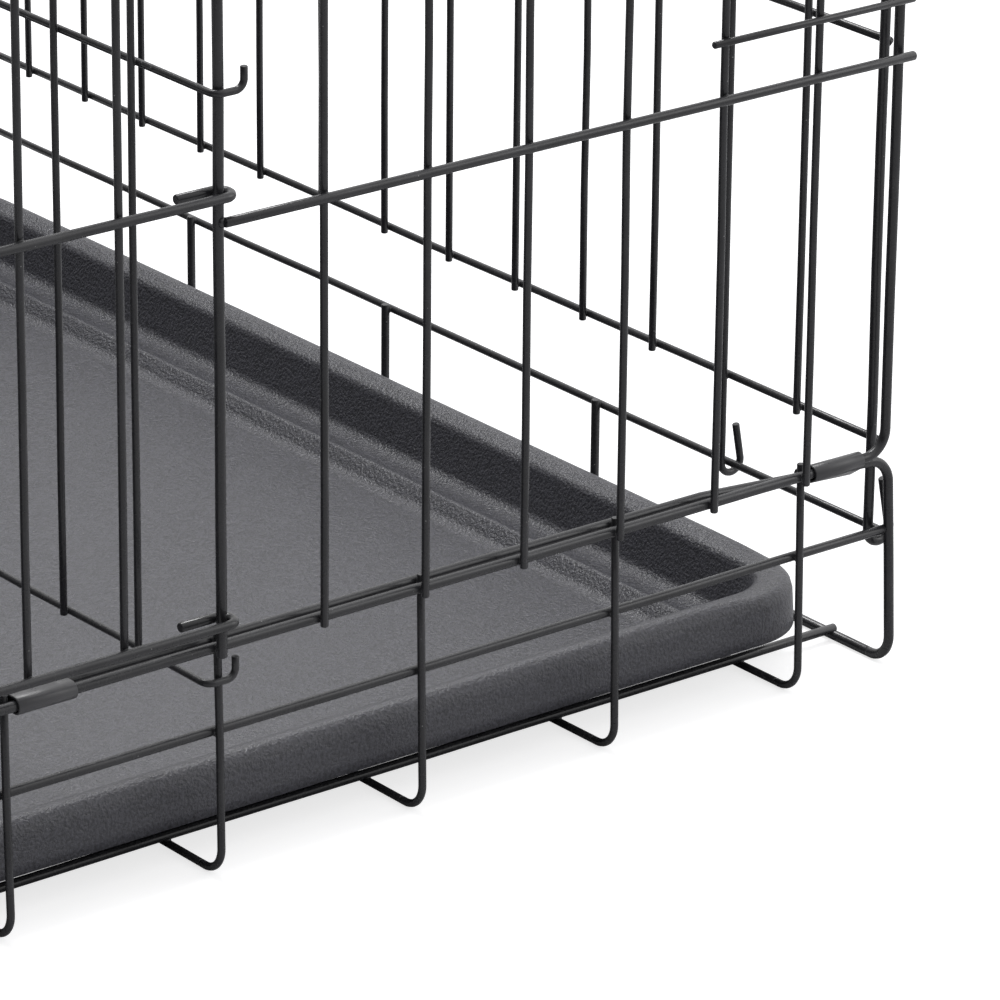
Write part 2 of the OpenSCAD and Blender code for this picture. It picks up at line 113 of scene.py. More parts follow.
DOOR_HOOK_R = FRAME_R + HOOK_GAP + RAIL_R
DOOR_RAIL_DEPTH = POST_DEPTH - DOOR_HOOK_R
DOOR_BAR_DEPTH = DOOR_RAIL_DEPTH + BAR_R + RAIL_R - WELD_SINK
DOOR_ZS = [BASE_RISE + 8.8, RAIL_ZS[0] + 7.7, RAIL_ZS[1] + 7.7, HEAD_Z - 8.8]
DOOR_EDGE = 34.0
DOOR_LAP = 6.0
LOOP_TAIL = 12.0
SIDE_DOOR_BARS = 9
FRONT_DOOR_BARS = 8
BOLT_DEPTH = DOOR_RAIL_DEPTH - RAIL_R - HOOK_GAP - BOLT_R
PULL_DROP = 24.0
PULL_LEN = 22.0
PULL_R = 5.0
BOLT_ZS = [(DOOR_ZS[0] + DOOR_ZS[1]) / 2 + PULL_DROP / 3, (DOOR_ZS[2] + DOOR_ZS[3]) / 2 + PULL_DROP / 3]
BOLT_LEN = 104.0
TIP_GAP = 10.0
GUIDE_BEND_R = BOLT_R + 0.3 + GUIDE_R

FLOOR_WIRE_Z = 2 * BAR_R + RAIL_R - WELD_SINK
FLOOR_YS = [-112.0, 0.0, 112.0]
FLOOR_EDGE_Y = HALF_W - 31  # fine
STUB_X = END_X - END_RAIL_R - RAIL_R + WELD_SINK
FEET = range(1, SIDE_GAPS - 1, 2)
FOOT_SHIFT = 2.5  # fine
CORNER_DROP = 5.0  # fine
DROP_RUN = 75.0  # fine
CLIPS = range(1, SIDE_GAPS - 1, 8)
CLIP_LEN = 19.5
CLIP_T = 0.7
CLIP_SLACK = 0.35  # fine
CLIP_GAP = 0.4

DIVIDER_X = HALF_LEN - DOOR_START * SIDE_PITCH
DIVIDER_ZS = [62.0, BASE_RISE + 164.7, TOP_Z - 162, TOP_Z - 42]
DIVIDER_BARS = 13
DIVIDER_EDGE = 33.5  # fine
HOOK_TIP = 6.5
STOP_X = HALF_LEN + 4.5
STOP_ZS = [(RAIL_ZS[1] + RAIL_ZS[2]) / 2, (RAIL_ZS[2] + TOP_Z) / 2]


def bar_x(i):
    return HALF_LEN - i * SIDE_PITCH


def end_bar_y(i):
    return -END_HALF + i * END_PITCH


# ---- walls: x along the wall, y inwards from its bars, z up ----

def near(p):
    return (p[0], p[1] - HALF_W, p[2])


def far(p):
    return (p[0], HALF_W - p[1], p[2])


def front(p):
    return (p[1] - END_BAR_X, -p[0], p[2])


def back(p):
    return (END_BAR_X - p[1], p[0], p[2])


def as_is(p):
    return p


# ---- wire centre lines ----

ARC_STEP = math.radians(7.5)
RUN_STEP = 45.0


class Wire:
    """A round wire: centre-line points, radius, whether it closes on itself, and its straight runs."""

    def __init__(self, points, radius, closed=False, runs=()):
        self.points = [np.array(p, float) for p in points]
        self.radius = radius
        self.closed = closed
        self.runs = [(np.array(a, float), np.array(b, float)) for a, b in runs]

    def on(self, wall):
        """The same wire on one of the crate's walls."""
        runs = [(wall(a), wall(b)) for a, b in self.runs]
        return Wire([wall(p) for p in self.points], self.radius, self.closed, runs)


def unit(v):
    return v / np.linalg.norm(v)


def arc(centre, first, second, radius, start, end):
    """Points of an arc in the plane of the unit vectors first and second."""
    steps = max(2, math.ceil(abs(end - start) / ARC_STEP))
    angles = [start + (end - start) * k / steps for k in range(steps + 1)]
    c, e, f = (np.array(v, float) for v in (centre, first, second))
    return [c + radius * (math.cos(t) * e + math.sin(t) * f) for t in angles]


def bend(before, p, after, radius):
    """Points of the round bend at p."""
    a, b = unit(p - before), unit(after - p)
    turn = math.acos(max(-1.0, min(1.0, float(a @ b))))
    if turn < 1e-4:
        return [p]
    centre = p + unit(b - a) * radius / math.cos(turn / 2)
    start = unit(p - a * radius * math.tan(turn / 2) - centre)
    return arc(centre, start, a, radius, 0, turn)


def straight(p, q):
    """Points along a straight run, close enough together to carry a slight wave."""
    p, q = np.array(p, float), np.array(q, float)
    steps = max(1, math.ceil(np.linalg.norm(q - p) / RUN_STEP))
    return [p + (q - p) * k / steps for k in range(steps + 1)]


def chain(*pieces, radius, closed=False):
    """Joins lists of points to one wire; a list of two is a straight run."""
    points, runs = [], []
    for piece in pieces:
        piece = [np.array(p, float) for p in piece]
        if points and np.linalg.norm(points[-1] - piece[0]) > 0.05:
            piece = [points[-1]] + piece if len(piece) > 2 else piece
            if len(piece) == 2:
                runs.append((points[-1], piece[0]))
                points += straight(points[-1], piece[0])[1:]
        if len(piece) == 2:
            runs.append((piece[0], piece[1]))
            piece = straight(*piece)
        points += piece if not points else piece[1:]
    return Wire(points, radius, closed, runs)


def rod(p, q, radius):
    return chain([p, q], radius=radius)


def bent(corners, radius, bend_radius, closed=False):
    """A wire through corners, with its inner corners rounded."""
    c = [np.array(p, float) for p in corners]
    n = len(c)
    inner = range(n) if closed else range(1, n - 1)
    bends = {i: bend(c[i - 1], c[i], c[(i + 1) % n], bend_radius) for i in inner}
    points, runs = [], []
    for i in range(n if closed else n - 1):
        j = (i + 1) % n
        start = bends[i][-1] if i in bends else c[i]
        stop = bends[j][0] if j in bends else c[j]
        runs.append((start, stop))
        points += straight(start, stop)
        if j in bends:
            points += bends[j][1:-1]
    return Wire(points, radius, closed, runs)


# ---- meshes ----

SIDES = 14
WAVE = 0.1


def tube(wire):
    """(vertices, faces) of a wire, with slightly rounded cut ends."""
    pts = [wire.points[0]]
    for p in wire.points[1:]:
        if np.linalg.norm(p - pts[-1]) > 0.02:
            pts.append(p)
    if wire.closed and np.linalg.norm(pts[0] - pts[-1]) < 0.02:
        pts.pop()
    pts = np.array(pts)
    n = len(pts)
    if wire.closed:
        tangents = np.roll(pts, -1, 0) - np.roll(pts, 1, 0)
    else:
        tangents = np.gradient(pts, axis=0)
    tangents /= np.linalg.norm(tangents, axis=1)[:, None]
    ref = np.array([0.31, 0.87, 0.39])
    side = unit(np.cross(tangents[0], ref))
    frames = []
    for t in tangents:
        side = unit(side - t * (side @ t))
        frames.append((side, np.cross(t, side)))
    wave = rng.normal(0, WAVE, (n, 2)) if n > 3 else np.zeros((n, 2))
    seg = np.linalg.norm(np.diff(pts, axis=0), axis=1)
    for k in range(n):
        short = (k > 0 and seg[k - 1] < 10) or (k < n - 1 and seg[k] < 10)
        if short or k in (0, n - 1):
            wave[k] = 0
    angles = np.arange(SIDES) * 2 * math.pi / SIDES
    rows = []

    def row(centre, frame_k, radius):
        u, v = frame_k
        rows.append(centre + radius * (np.cos(angles)[:, None] * u + np.sin(angles)[:, None] * v))

    r = wire.radius
    if not wire.closed:
        row(pts[0], frames[0], r * 0.86)
        row(pts[0] + tangents[0] * r * 0.2, frames[0], r)
    for k in range(n):
        if not wire.closed and k in (0, n - 1):
            continue
        u, v = frames[k]
        row(pts[k] + wave[k, 0] * u + wave[k, 1] * v, frames[k], r)
    if not wire.closed:
        row(pts[-1] - tangents[-1] * r * 0.2, frames[-1], r)
        row(pts[-1], frames[-1], r * 0.86)
    faces = []
    count = len(rows)
    for k in range(count if wire.closed else count - 1):
        a, b = k * SIDES, (k + 1) % count * SIDES
        shift = 0
        if wire.closed and k == count - 1:
            shift = int(np.argmin(np.linalg.norm(rows[0] - rows[-1][0], axis=1)))
        for s in range(SIDES):
            t = (s + 1) % SIDES
            faces.append((a + s, a + t, b + (t + shift) % SIDES, b + (s + shift) % SIDES))
    if not wire.closed:
        faces.append(tuple(range(SIDES - 1, -1, -1)))
        faces.append(tuple(range((count - 1) * SIDES, count * SIDES)))
    return np.concatenate(rows), faces


def ball():
    """(vertices, faces) of a unit ball."""
    rings, around = 5, 10
    verts = [(0, 0, 1)]
    for k in range(1, rings):
        t = math.pi * k / rings
        for s in range(around):
            a = 2 * math.pi * s / around
            verts.append((math.sin(t) * math.cos(a), math.sin(t) * math.sin(a), math.cos(t)))
    verts.append((0, 0, -1))
    faces = [(0, 1 + s, 1 + (s + 1) % around) for s in range(around)]
    for k in range(rings - 2):
        a, b = 1 + k * around, 1 + (k + 1) * around
        faces += [(a + s, b + s, b + (s + 1) % around, a + (s + 1) % around) for s in range(around)]
    last = 1 + (rings - 2) * around
    faces += [(last + (s + 1) % around, last + s, len(verts) - 1) for s in range(around)]
    return np.array(verts), faces


BALL = ball()


def closest(a0, a1, b0, b1):
    """Closest points of two straight runs, or None if they are nearly parallel."""
    d1, d2, w = a1 - a0, b1 - b0, a0 - b0
    a, b, c, d, e = d1 @ d1, d1 @ d2, d2 @ d2, d1 @ w, d2 @ w
    det = a * c - b * b
    if det < 0.1 * a * c:
        return None
    s = min(1.0, max(0.0, (b * e - c * d) / det))
    t = min(1.0, max(0.0, (a * e - b * d) / det))
    return a0 + s * d1, b0 + t * d2, unit(d1), unit(d2)


def welds(wires, others=()):
    """Squashed beads where the straight runs of the wires cross and touch."""
    runs = [(a, b, w.radius, i) for i, w in enumerate(wires) for a, b in w.runs]
    more = [(a, b, w.radius, -1 - i) for i, w in enumerate(others) for a, b in w.runs]
    beads = []
    for i, (a0, a1, ra, ia) in enumerate(runs):
        for b0, b1, rb, ib in runs[i + 1:] + more:
            if ia == ib:
                continue
            if np.any(np.minimum(a0, a1) - 4 > np.maximum(b0, b1)):
                continue
            if np.any(np.maximum(a0, a1) + 4 < np.minimum(b0, b1)):
                continue
            found = closest(a0, a1, b0, b1)
            if found is None:
                continue
            p, q, u, v = found
            gap = np.linalg.norm(q - p)
            if not 0.4 * (ra + rb) < gap < ra + rb - 0.05:
                continue
            n = unit(q - p)
            size = rng.uniform(0.9, 1.15, 3)
            axes = np.array([u * 1.05 * min(rb, 1.6) * size[0], unit(np.cross(n, u)) * 1.05 * ra * size[1],
                             n * 0.75 * size[2]])
            verts = BALL[0] @ axes + p + n * (ra - 0.1)
            beads.append((verts, BALL[1]))
    return beads


def make_mesh(name, parts, material, smooth=True):
    """One object from a list of (vertices in mm, faces)."""
    verts, faces, base = [], [], 0
    for v, f in parts:
        verts.append(np.asarray(v) * MM)
        faces += [tuple(base + i for i in face) for face in f]
        base += len(v)
    mesh = bpy.data.meshes.new(name)
    mesh.from_pydata(np.concatenate(verts).tolist(), [], faces)
    mesh.update()
    if smooth:
        mesh.polygons.foreach_set("use_smooth", [len(p.vertices) <= 4 for p in mesh.polygons])
    mesh.materials.append(material)
    obj = bpy.data.objects.new(name, mesh)
    bpy.context.collection.objects.link(obj)
    return obj


node_body = {n: b for b, names in frame["record"]["behaviour"]["bodies"].items() for n in names}


def stand_for(obj, node):
    """obj takes the place of a CAD node."""
    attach(obj, node_body[node])
    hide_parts(node)


# ---- materials ----

def principled(name, color, roughness, specular=0.5):
    mat = bpy.data.materials.new(name)
    mat.use_nodes = True
    shader = mat.node_tree.nodes["Principled BSDF"]
    shader.inputs["Base Color"].default_value = (*color, 1)
    shader.inputs["Roughness"].default_value = roughness
    shader.inputs["Specular IOR Level"].default_value = specular
    return mat, mat.node_tree, shader


def add(tree, kind, **settings):
    node = tree.nodes.new(kind)
    for key, value in settings.items():
        if key in node.inputs:
            node.inputs[key].default_value = value
        else:
            setattr(node, key, value)
    return node


def math_node(tree, operation, a, b=None):
    node = tree.nodes.new("ShaderNodeMath")
    node.operation = operation
    for k, value in enumerate((a, b)):
        if value is None:
            continue
        if isinstance(value, (int, float)):
            node.inputs[k].default_value = value
        else:
            tree.links.new(value, node.inputs[k])
    return node.outputs[0]


def coords(tree, stretch=(1, 1, 1)):
    place = tree.nodes.new("ShaderNodeTexCoord")
    mapping = tree.nodes.new("ShaderNodeMapping")
    mapping.inputs["Scale"].default_value = stretch
    tree.links.new(place.outputs["Object"], mapping.inputs["Vector"])
    return mapping.outputs["Vector"]


def noise(tree, vector, scale, detail=2.0, rough=0.5):
    node = tree.nodes.new("ShaderNodeTexNoise")
    node.inputs["Scale"].default_value = scale
    node.inputs["Detail"].default_value = detail
    node.inputs["Roughness"].default_value = rough
    tree.links.new(vector, node.inputs["Vector"])
    return node.outputs["Fac"]


def ramp(tree, value, low, high, low_out=0.0, high_out=1.0):
    node = tree.nodes.new("ShaderNodeMapRange")
    node.inputs["From Min"].default_value = low
    node.inputs["From Max"].default_value = high
    node.inputs["To Min"].default_value = low_out
    node.inputs["To Max"].default_value = high_out
    tree.links.new(value, node.inputs["Value"])
    return node.outputs[0]


def specks(tree, vector, cell, size, share):
    """Small spots: 1 inside a speck, 0 elsewhere. cell and size are in millimetres."""
    cells = tree.nodes.new("ShaderNodeTexVoronoi")
    cells.inputs["Scale"].default_value = 1 / (cell * MM)
    tree.links.new(vector, cells.inputs["Vector"])
    inside = ramp(tree, cells.outputs["Distance"], size / cell, 0.55 * size / cell)
    pick = tree.nodes.new("ShaderNodeSeparateColor")
    tree.links.new(cells.outputs["Color"], pick.inputs["Color"])
    chosen = math_node(tree, "LESS_THAN", pick.outputs["Red"], share)
    return math_node(tree, "MULTIPLY", inside, chosen)


def blend_colors(tree, factor, first, second):
    node = tree.nodes.new("ShaderNodeMix")
    node.data_type = "RGBA"
    tree.links.new(factor, node.inputs["Factor"])
    for name, value in (("A", first), ("B", second)):
        socket = [s for s in node.inputs if s.name == name and s.type == "RGBA"][0]
        if isinstance(value, tuple):
            socket.default_value = (*value, 1)
        else:
            tree.links.new(value, socket)
    return [s for s in node.outputs if s.type == "RGBA"][0]


def bump(tree, shader, height, strength, distance):
    node = tree.nodes.new("ShaderNodeBump")
    node.inputs["Strength"].default_value = strength
    node.inputs["Distance"].default_value = distance * MM
    tree.links.new(height, node.inputs["Height"])
    tree.links.new(node.outputs["Normal"], shader.inputs["Normal"])


def coat_material(name, color, roughness):
    """Satin black coat: soft blotches, orange peel and a few dust specks."""
    mat, tree, shader = principled(name, color, roughness)
    v = coords(tree)
    blotch = ramp(tree, noise(tree, v, 60, 3), 0.35, 0.7)
    darker = tuple(c * 0.8 for c in color)
    lighter = tuple(c * 1.25 for c in color)
    base = blend_colors(tree, blotch, darker, lighter)
    dust = specks(tree, v, 2.6, 0.22, 0.2)
    dusty = blend_colors(tree, dust, base, (0.3, 0.3, 0.3))
    tree.links.new(dusty, shader.inputs["Base Color"])
    rough = ramp(tree, noise(tree, v, 350, 2), 0.3, 0.7, roughness - 0.07, roughness + 0.09)
    tree.links.new(rough, shader.inputs["Roughness"])
    peel = math_node(tree, "ADD", noise(tree, v, 1500, 2), math_node(tree, "MULTIPLY", dust, 1.5))
    bump(tree, shader, peel, 0.12, 0.05)
    return mat


def pan_material():
    """Grey moulded plastic with a pebbled leather grain, whose raised grain is painted paler as a painted
    sheen on the pebble tops.
    """
    color = (0.034, 0.034, 0.041)
    mat, tree, shader = principled("pan_plastic", color, 0.36, 0.62)
    v = coords(tree)
    grain = noise(tree, v, 1050, 3, 0.55)
    # Painted sheen: mask of the grain's raised pebble tops, which are painted paler where light would catch
    # them
    ridge_sheen_mask = ramp(tree, grain, 0.38, 0.62)
    cloud = ramp(tree, noise(tree, coords(tree), 14, 3), 0.3, 0.7)
    base = blend_colors(tree, cloud, tuple(c * 0.88 for c in color), tuple(c * 1.14 for c in color))
    # Painted sheen: the pebble tops get 2.1 times the base colour in place of light on them
    ridge_sheen = blend_colors(tree, ridge_sheen_mask, base, tuple(c * 2.1 for c in color))
    dust = specks(tree, coords(tree), 4.0, 0.25, 0.16)
    dusty = blend_colors(tree, dust, ridge_sheen, (0.4, 0.4, 0.4))
    tree.links.new(dusty, shader.inputs["Base Color"])
    bump(tree, shader, grain, 0.85, 0.6)
    return mat


wire_coat = coat_material("wire_coat", (0.031, 0.031, 0.034), 0.24)
bolt_coat = coat_material("bolt_coat", (0.028, 0.028, 0.031), 0.24)
clip_coat = coat_material("clip_coat", (0.06, 0.06, 0.064), 0.34)
pan_plastic = pan_material()

# ---- base ----

def foot(x):
    join = FOOT_LOW + FOOT_R + 2
    return bent([(x, FOOT_DEPTH, BASE_RISE + 2.8), (x, FOOT_LOW, BAR_R), (x, join, BAR_R)], BAR_R, FOOT_R)


def base_rail():
    low, high, join = (0, POST_LOW, FRAME_R), (0, BASE_DEPTH, BASE_RISE), (0, FOOT_LOW + FOOT_R + 2, FRAME_R)

    def at(x, p):
        return (x, p[1], p[2])

    corner = (0, BASE_DEPTH, BASE_RISE - CORNER_DROP)
    knee = END_X - DROP_RUN
    loop = bent([at(-END_X, join), at(-END_X, low), at(-END_X, corner), at(-knee, high), at(knee, high),
                 at(END_X, corner), at(END_X, low), at(END_X, join)], FRAME_R, CORNER_R)
    middle = rod((-END_X, SIDE_WIRE_DEPTH, SIDE_WIRE_Z), (END_X, SIDE_WIRE_DEPTH, SIDE_WIRE_Z), RAIL_R)
    return [loop, middle] + [foot(bar_x(i) + FOOT_SHIFT) for i in FEET]


def base_floor():
    reach = HALF_W - FOOT_LOW - FOOT_R - 2
    xs = [bar_x(i) + FOOT_SHIFT for i in FEET]
    wires = [rod((x, -reach, BAR_R), (x, reach, BAR_R), BAR_R) for x in xs]
    for s in (-1, 1):
        wires.append(rod((s * END_X, -reach, FRAME_R), (s * END_X, reach, FRAME_R), FRAME_R))
        y = s * FLOOR_EDGE_Y
        wires.append(rod((-END_X - 1, y, FLOOR_WIRE_Z), (END_X + 1, y, FLOOR_WIRE_Z), RAIL_R))
    for y in FLOOR_YS:
        wires.append(rod((-END_X, y, FLOOR_WIRE_Z), (STUB_X - FOOT_R, y, FLOOR_WIRE_Z), RAIL_R))
    return wires


def end_wire(s):
    reach = HALF_W - POST_LOW - (BASE_DEPTH - POST_LOW) * END_WIRE_Z / BASE_RISE
    return rod((s * END_X, -reach, END_WIRE_Z), (s * END_X, reach, END_WIRE_Z), END_RAIL_R)


def floor_stub(y):
    return bent([(STUB_X - FOOT_R - 1, y, FLOOR_WIRE_Z), (STUB_X, y, FLOOR_WIRE_Z),
                 (STUB_X, y, END_WIRE_Z + BAR_OVER)], RAIL_R, FOOT_R)


# ---- side panels, top, rungs and stops ----

def side_frame():
    corners = [(-RING_HALF, FRAME_DEPTH, BASE_RISE), (RING_HALF, FRAME_DEPTH, BASE_RISE),
               (RING_HALF, FRAME_DEPTH, TOP_Z), (-RING_HALF, FRAME_DEPTH, TOP_Z)]
    return bent(corners, FRAME_R, CORNER_R, closed=True)


def side_bar(i, low, high, radius=BAR_R, depth=0.0):
    return rod((bar_x(i), depth, low), (bar_x(i), depth, high), radius)


def far_side():
    low, high = BASE_RISE - BAR_OVER, TOP_Z + BAR_OVER
    bars = [side_bar(i, low, high) for i in range(1, SIDE_GAPS)]
    end = RING_HALF + BAR_OVER
    return [side_frame()] + bars + [rod((-end, RAIL_DEPTH, z), (end, RAIL_DEPTH, z), RAIL_R) for z in RAIL_ZS]


def near_side():
    low, high = BASE_RISE - BAR_OVER, TOP_Z + BAR_OVER
    door_end = DOOR_START + DOOR_GAPS
    wires = [side_frame()]
    for i in range(1, SIDE_GAPS):
        if i in (DOOR_START, door_end):
            wires.append(side_bar(i, low, high, FRAME_R, POST_DEPTH))
        elif DOOR_START < i < door_end:
            wires.append(side_bar(i, HEAD_Z - BAR_OVER, high))
        else:
            wires.append(side_bar(i, low, high))
    end = RING_HALF + BAR_OVER
    for z in RAIL_ZS:
        wires.append(rod((bar_x(DOOR_START) + 0.5, RAIL_DEPTH, z), (end, RAIL_DEPTH, z), RAIL_R))
        wires.append(rod((-end, RAIL_DEPTH, z), (bar_x(door_end) - 0.5, RAIL_DEPTH, z), RAIL_R))
    head_start, head_end = bar_x(door_end), bar_x(DOOR_START)
    wires.append(rod((head_start, FRAME_DEPTH, HEAD_Z), (head_end, FRAME_DEPTH, HEAD_Z), FRAME_R))
    return wires


def rungs():
    depth = -(LIGHT_R + BAR_R - WELD_SINK)
    inner, outer = HALF_LEN - 2 * SIDE_PITCH - 6, RING_HALF + 1.5
    return [rod((s * inner, depth, z), (s * outer, depth, z), LIGHT_R) for s in (-1, 1) for z in RUNG_ZS]


def top_wires():
    edge = HALF_W - BASE_DEPTH
    bar_z = TOP_Z + FRAME_R + BAR_R - WELD_SINK
    rail_z = bar_z + BAR_R + RAIL_R - WELD_SINK
    corners = [(-END_X, -edge, TOP_Z), (END_X, -edge, TOP_Z), (END_X, edge, TOP_Z), (-END_X, edge, TOP_Z)]
    wires = [bent(corners, FRAME_R, CORNER_R, closed=True)]
    for i in range(1, SIDE_GAPS):
        wires.append(rod((bar_x(i), -edge - FRAME_R, bar_z), (bar_x(i), edge + FRAME_R, bar_z), BAR_R))
    for y in FLOOR_YS:
        wires.append(rod((20 - END_X, y, rail_z), (END_X - 20, y, rail_z), RAIL_R))
    return wires


def stops(s):
    wires = []
    for t in (-1, 1):
        for z in STOP_ZS:
            y = t * (HALF_W - FRAME_DEPTH)
            wires.append(bent([(s * (RING_HALF - 1), y, z), (s * STOP_X, y, z),
                               (s * STOP_X, t * (HALF_W - END_INSET - 3), z)], LIGHT_R, SMALL_BEND))
    return wires


# ---- end panels ----

def end_hook(y, depth, hook_r, tail, lean=0.0):
    """Points of the hook round the base end wire, from the panel side to the tip."""
    centre = (y, depth - hook_r, END_WIRE_Z)
    around = arc(centre, (0, 1, 0), (0, 0, -1), hook_r, 0, math.pi)
    tip = (y, depth - 2 * hook_r + lean, END_WIRE_Z + tail)
    return around, [around[-1], tip]


def end_frame():
    d = END_EDGE_DEPTH
    first, first_tip = end_hook(-END_HALF, d, EDGE_TURN_R, EDGE_TAIL, EDGE_LEAN)
    last, last_tip = end_hook(END_HALF, d, EDGE_TURN_R, EDGE_TAIL, EDGE_LEAN)
    corners = [np.array(p, float) for p in
               ((-END_HALF, d, END_WIRE_Z), (-END_HALF, d, END_TOP_Z), (END_HALF, d, END_TOP_Z),
                (END_HALF, d, END_WIRE_Z))]
    left = bend(corners[0], corners[1], corners[2], CORNER_R)
    right = bend(corners[1], corners[2], corners[3], CORNER_R)
    return chain(first_tip[::-1], first[::-1], [corners[0], left[0]], left, [left[-1], right[0]], right,
                 [right[-1], corners[3]], last, last_tip, radius=FRAME_R)


def end_bar(i, low, high, radius=BAR_R, depth=0.0):
    return rod((end_bar_y(i), depth, low), (end_bar_y(i), depth, high), radius)


def hinged_bar(i, high):
    around, tip = end_hook(end_bar_y(i), 0.0, BAR_TURN_R, BAR_TAIL, BAR_LEAN)
    return chain([(end_bar_y(i), 0.0, high), (end_bar_y(i), 0.0, END_WIRE_Z)], around, tip, radius=BAR_R)


def end_rail(low_gap, high_gap, z, over=0.0):
    low, high = end_bar_y(low_gap) - over, end_bar_y(high_gap) + over
    return rod((low, END_RAIL_DEPTH, z), (high, END_RAIL_DEPTH, z), END_RAIL_R)


def back_end():
    wires = [end_frame()]
    for i in range(1, END_GAPS):
        if i == HINGE_BAR:
            wires.append(hinged_bar(i, END_TOP_Z))
        else:
            wires.append(end_bar(i, BASE_RISE - BAR_OVER, END_TOP_Z))
    return wires + [end_rail(0, END_GAPS, z) for z in [BASE_RISE] + RAIL_ZS]


def front_end():
    door_end = END_GAPS - FRONT_START
    wires = [end_frame()]
    for i in range(1, END_GAPS):
        if i in (HINGE_BAR, END_GAPS - HINGE_BAR):
            wires.append(hinged_bar(i, END_TOP_Z))
        elif i in (FRONT_START, door_end):
            wires.append(end_bar(i, BASE_RISE - BAR_OVER, END_TOP_Z, FRAME_R, POST_DEPTH))
        elif FRONT_START < i < door_end:
            wires.append(end_bar(i, HEAD_Z - BAR_OVER, END_TOP_Z))
        else:
            wires.append(end_bar(i, BASE_RISE - BAR_OVER, END_TOP_Z))
    wires.append(end_rail(0, END_GAPS, BASE_RISE))
    for z in RAIL_ZS:
        wires += [end_rail(0, FRONT_START, z), end_rail(door_end, END_GAPS, z)]
    wires.append(end_rail(FRONT_START, door_end, HEAD_Z, 1.0))
    return wires


# ---- doors, bolts and divider ----

def door(hinge, latch, bars):
    s = math.copysign(1, latch - hinge)
    wires = []
    for z in DOOR_ZS:
        around = arc((hinge, POST_DEPTH, z), (0, -1, 0), (-s, 0, 0), DOOR_HOOK_R, 0, math.pi)
        wires.append(chain([(latch + s * DOOR_LAP, DOOR_RAIL_DEPTH, z), (hinge, DOOR_RAIL_DEPTH, z)], around,
                           [around[-1], (hinge + s * LOOP_TAIL, POST_DEPTH + DOOR_HOOK_R, z)], radius=RAIL_R))
    first, last = hinge + s * DOOR_EDGE, latch - s * DOOR_EDGE
    low, high = DOOR_ZS[0] - BAR_R, DOOR_ZS[3] + BAR_OVER
    for k in range(bars):
        x = first + (last - first) * k / (bars - 1)
        wires.append(rod((x, DOOR_BAR_DEPTH, low), (x, DOOR_BAR_DEPTH, high), BAR_R))
    return wires


def staple(x, root, z):
    around = arc((x, BOLT_DEPTH, z), (0, 0, 1), (0, -1, 0), GUIDE_BEND_R, 0, math.pi)
    return chain([(x, root, z + GUIDE_BEND_R), around[0]], around, [around[-1], (x, root, z - GUIDE_BEND_R)],
                 radius=GUIDE_R)


def guides(hinge, latch, bars):
    s = math.copysign(1, latch - hinge)
    pitch = (abs(latch - hinge) - 2 * DOOR_EDGE) / (bars - 1)
    return [staple(latch - s * (DOOR_EDGE + k * pitch), DOOR_BAR_DEPTH, z) for z in BOLT_ZS for k in (0, 1)]


def keepers(latch):
    return [staple(latch, POST_DEPTH - FRAME_R + GUIDE_R, z) for z in BOLT_ZS]


def slide_bolt(hinge, latch, z):
    s = math.copysign(1, hinge - latch)
    tip = latch + s * TIP_GAP
    end = tip + s * BOLT_LEN
    return bent([(tip, BOLT_DEPTH, z), (end, BOLT_DEPTH, z), (end, BOLT_DEPTH, z - PULL_DROP),
                 (end - s * PULL_LEN, BOLT_DEPTH, z - PULL_DROP)], BOLT_R, PULL_R)


def divider_rail(z, post):
    side = DIVIDER_X - FRAME_R - 0.3 - LIGHT_R
    out = HALF_W - post + FRAME_R + 0.3 + LIGHT_R
    tip = DIVIDER_X + FRAME_R + 5
    return bent([(tip, -out, z + HOOK_TIP), (tip, -out, z), (side, -out, z), (side, out, z), (tip, out, z),
                 (tip, out, z + HOOK_TIP)], LIGHT_R, SMALL_BEND)


def divider():
    wires = [divider_rail(DIVIDER_ZS[0], FOOT_DEPTH)] + [divider_rail(z, POST_DEPTH) for z in DIVIDER_ZS[1:]]
    x = DIVIDER_X - FRAME_R - 0.3 - LIGHT_R - (2 * LIGHT_R - WELD_SINK)
    first = HALF_W - DIVIDER_EDGE
    for k in range(DIVIDER_BARS):
        y = -first + 2 * first * k / (DIVIDER_BARS - 1)
        wires.append(rod((x, y, DIVIDER_ZS[0] - LIGHT_R), (x, y, DIVIDER_ZS[3] + LIGHT_R), LIGHT_R))
    return wires


# ---- all wire pieces ----

def placed(wires, wall=as_is):
    return [w.on(wall) for w in wires]


SIDE_HINGE, SIDE_LATCH = bar_x(DOOR_START), bar_x(DOOR_START + DOOR_GAPS)
FRONT_HINGE, FRONT_LATCH = end_bar_y(END_GAPS - FRONT_START), end_bar_y(FRONT_START)

near_rail, far_rail = placed(base_rail(), near), placed(base_rail(), far)
near_panel, far_panel = placed(near_side(), near), placed(far_side(), far)
side_gate = placed(door(SIDE_HINGE, SIDE_LATCH, SIDE_DOOR_BARS), near)
front_gate = placed(door(FRONT_HINGE, FRONT_LATCH, FRONT_DOOR_BARS), front)
front_panel = placed(front_end(), front)
floor_wires = base_floor()

